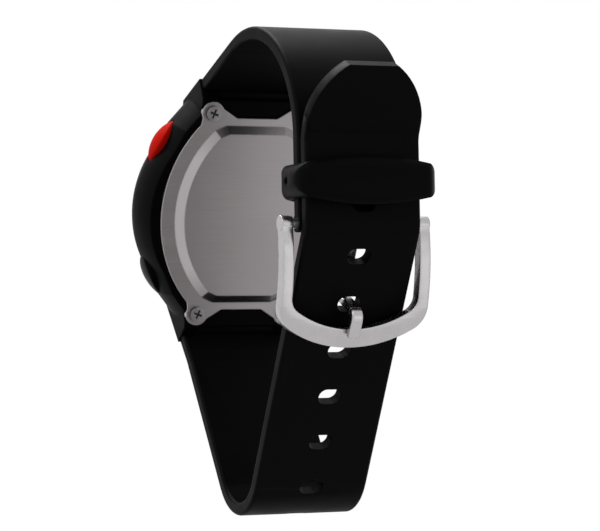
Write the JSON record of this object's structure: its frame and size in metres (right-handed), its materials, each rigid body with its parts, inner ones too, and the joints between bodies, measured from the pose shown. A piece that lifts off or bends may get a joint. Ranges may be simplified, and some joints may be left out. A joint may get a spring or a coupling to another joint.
{
  "type": "digital chronograph wristwatch",
  "caption": "Round resin digital chronograph wristwatch with a steel back, side pushers and a buckled resin strap looped behind it.",
  "frame": {"origin": "centre of the flat outer face of the case back", "axes": "+Z towards 12 o'clock, the dial faces -Y, +X towards 3 o'clock; the buckled strap loop lies on the +Y side"},
  "size_m": [0.0336, 0.0519, 0.0708],
  "materials": {
    "case_resin": "satin moulded resin",
    "bezel_resin": "satin moulded resin",
    "crystal": "clear",
    "gasket_rubber": "matt",
    "crystal_gasket": "matt",
    "index_grey": "painted grey",
    "mask_black": "printed black",
    "lcd_glass": "grey-green polariser",
    "lcd_ink": "dark segments",
    "backlight": "diffusing film",
    "zebra": "matt",
    "module_plastic": "moulded",
    "board_green": "solder mask",
    "chip_epoxy": "glossy drop of epoxy",
    "can_metal": "drawn metal can",
    "small_parts": "ceramic chips",
    "contact_brass": "gold-plated spring sheet",
    "cell_steel": "nickel-plated",
    "clip_steel": "spring steel",
    "buzzer_brass": "rolled sheet",
    "buzzer_white": "fired ceramic, silvered",
    "back_steel": "satin face, polished bevels",
    "screw_steel": "polished",
    "pusher_red": "orange-red, satin",
    "pusher_black": "satin",
    "strap_resin": "matt moulded resin",
    "bar_steel": "turned",
    "buckle_steel": "satin polished",
    "keeper_resin": "satin moulded resin"
  },
  "bodies": {
    "watch": {"case_middle": "case_resin", "bezel": "bezel_resin", "crystal": "crystal", "crystal_gasket": "crystal_gasket", "index_ring": "index_grey", "dial_mask": "mask_black", "lcd_panel": "lcd_glass", "lcd_segments": "lcd_ink", "backlight_panel": "backlight", "zebra_strips": "zebra", "module_frame": "module_plastic", "circuit_board": "board_green", "main_chip": "chip_epoxy", "quartz_can": "can_metal", "small_parts": "small_parts", "contact_plate": "contact_brass", "coin_cell": "cell_steel", "cell_contact": "contact_brass", "battery_clip": "clip_steel", "rear_holder": "module_plastic", "buzzer_disc": "buzzer_brass", "buzzer_ceramic": "buzzer_white", "buzzer_spring": "contact_brass", "case_back": "back_steel", "back_gasket": "gasket_rubber", "back_screws": "screw_steel", "start_spring": "clip_steel", "lap_spring": "clip_steel", "mode_spring": "clip_steel", "light_spring": "clip_steel", "upper_strap": "strap_resin", "lower_strap": "strap_resin", "lug_bar_tubes": "bar_steel", "lug_bar_tips": "bar_steel", "lug_bar_coils": "clip_steel", "buckle_bar_tube": "bar_steel", "buckle_bar_tips": "bar_steel", "buckle_bar_coil": "clip_steel"},
    "start_pusher_body": {"start_pusher": "pusher_red", "start_clip": "clip_steel", "start_seal": "gasket_rubber"},
    "lap_pusher_body": {"lap_pusher": "pusher_black", "lap_clip": "clip_steel", "lap_seal": "gasket_rubber"},
    "mode_pusher_body": {"mode_pusher": "pusher_black", "mode_clip": "clip_steel", "mode_seal": "gasket_rubber"},
    "light_pusher_body": {"light_pusher": "pusher_black", "light_clip": "clip_steel", "light_seal": "gasket_rubber"},
    "keeper_body": {"keeper": "keeper_resin"},
    "buckle_body": {"buckle_frame": "buckle_steel"},
    "prong_body": {"prong": "buckle_steel"}
  },
  "joints": [
    {"name": "start_press", "type": "slide", "parent": "watch", "child": "start_pusher_body", "axis": [-0.891, 0, -0.454], "range_m": [0, 0.0007], "stiffness_N_per_m": 1500, "deforming": ["start_spring"]},
    {"name": "lap_press", "type": "slide", "parent": "watch", "child": "lap_pusher_body", "axis": [-0.891, 0, 0.454], "range_m": [0, 0.0007], "stiffness_N_per_m": 1500, "deforming": ["lap_spring"]},
    {"name": "mode_press", "type": "slide", "parent": "watch", "child": "mode_pusher_body", "axis": [0.891, 0, 0.454], "range_m": [0, 0.0007], "stiffness_N_per_m": 1500, "deforming": ["mode_spring"]},
    {"name": "light_press", "type": "slide", "parent": "watch", "child": "light_pusher_body", "axis": [0.891, 0, -0.454], "range_m": [0, 0.0007], "stiffness_N_per_m": 1500, "deforming": ["light_spring"]},
    {"name": "keeper_slide", "type": "slide", "parent": "watch", "child": "keeper_body", "axis": [0, -0.2588, 0.9659], "range_m": [-0.00025, 0.0015]},
    {"name": "buckle_tilt", "type": "hinge", "parent": "watch", "child": "buckle_body", "pos_m": [0, 0.03628, 0.00624], "axis": [1, 0, 0], "range_deg": [-1, 0]},
    {"name": "prong_tilt", "type": "hinge", "parent": "watch", "child": "prong_body", "pos_m": [0, 0.03628, 0.00624], "axis": [1, 0, 0], "range_deg": [0, 2]}
  ]
}
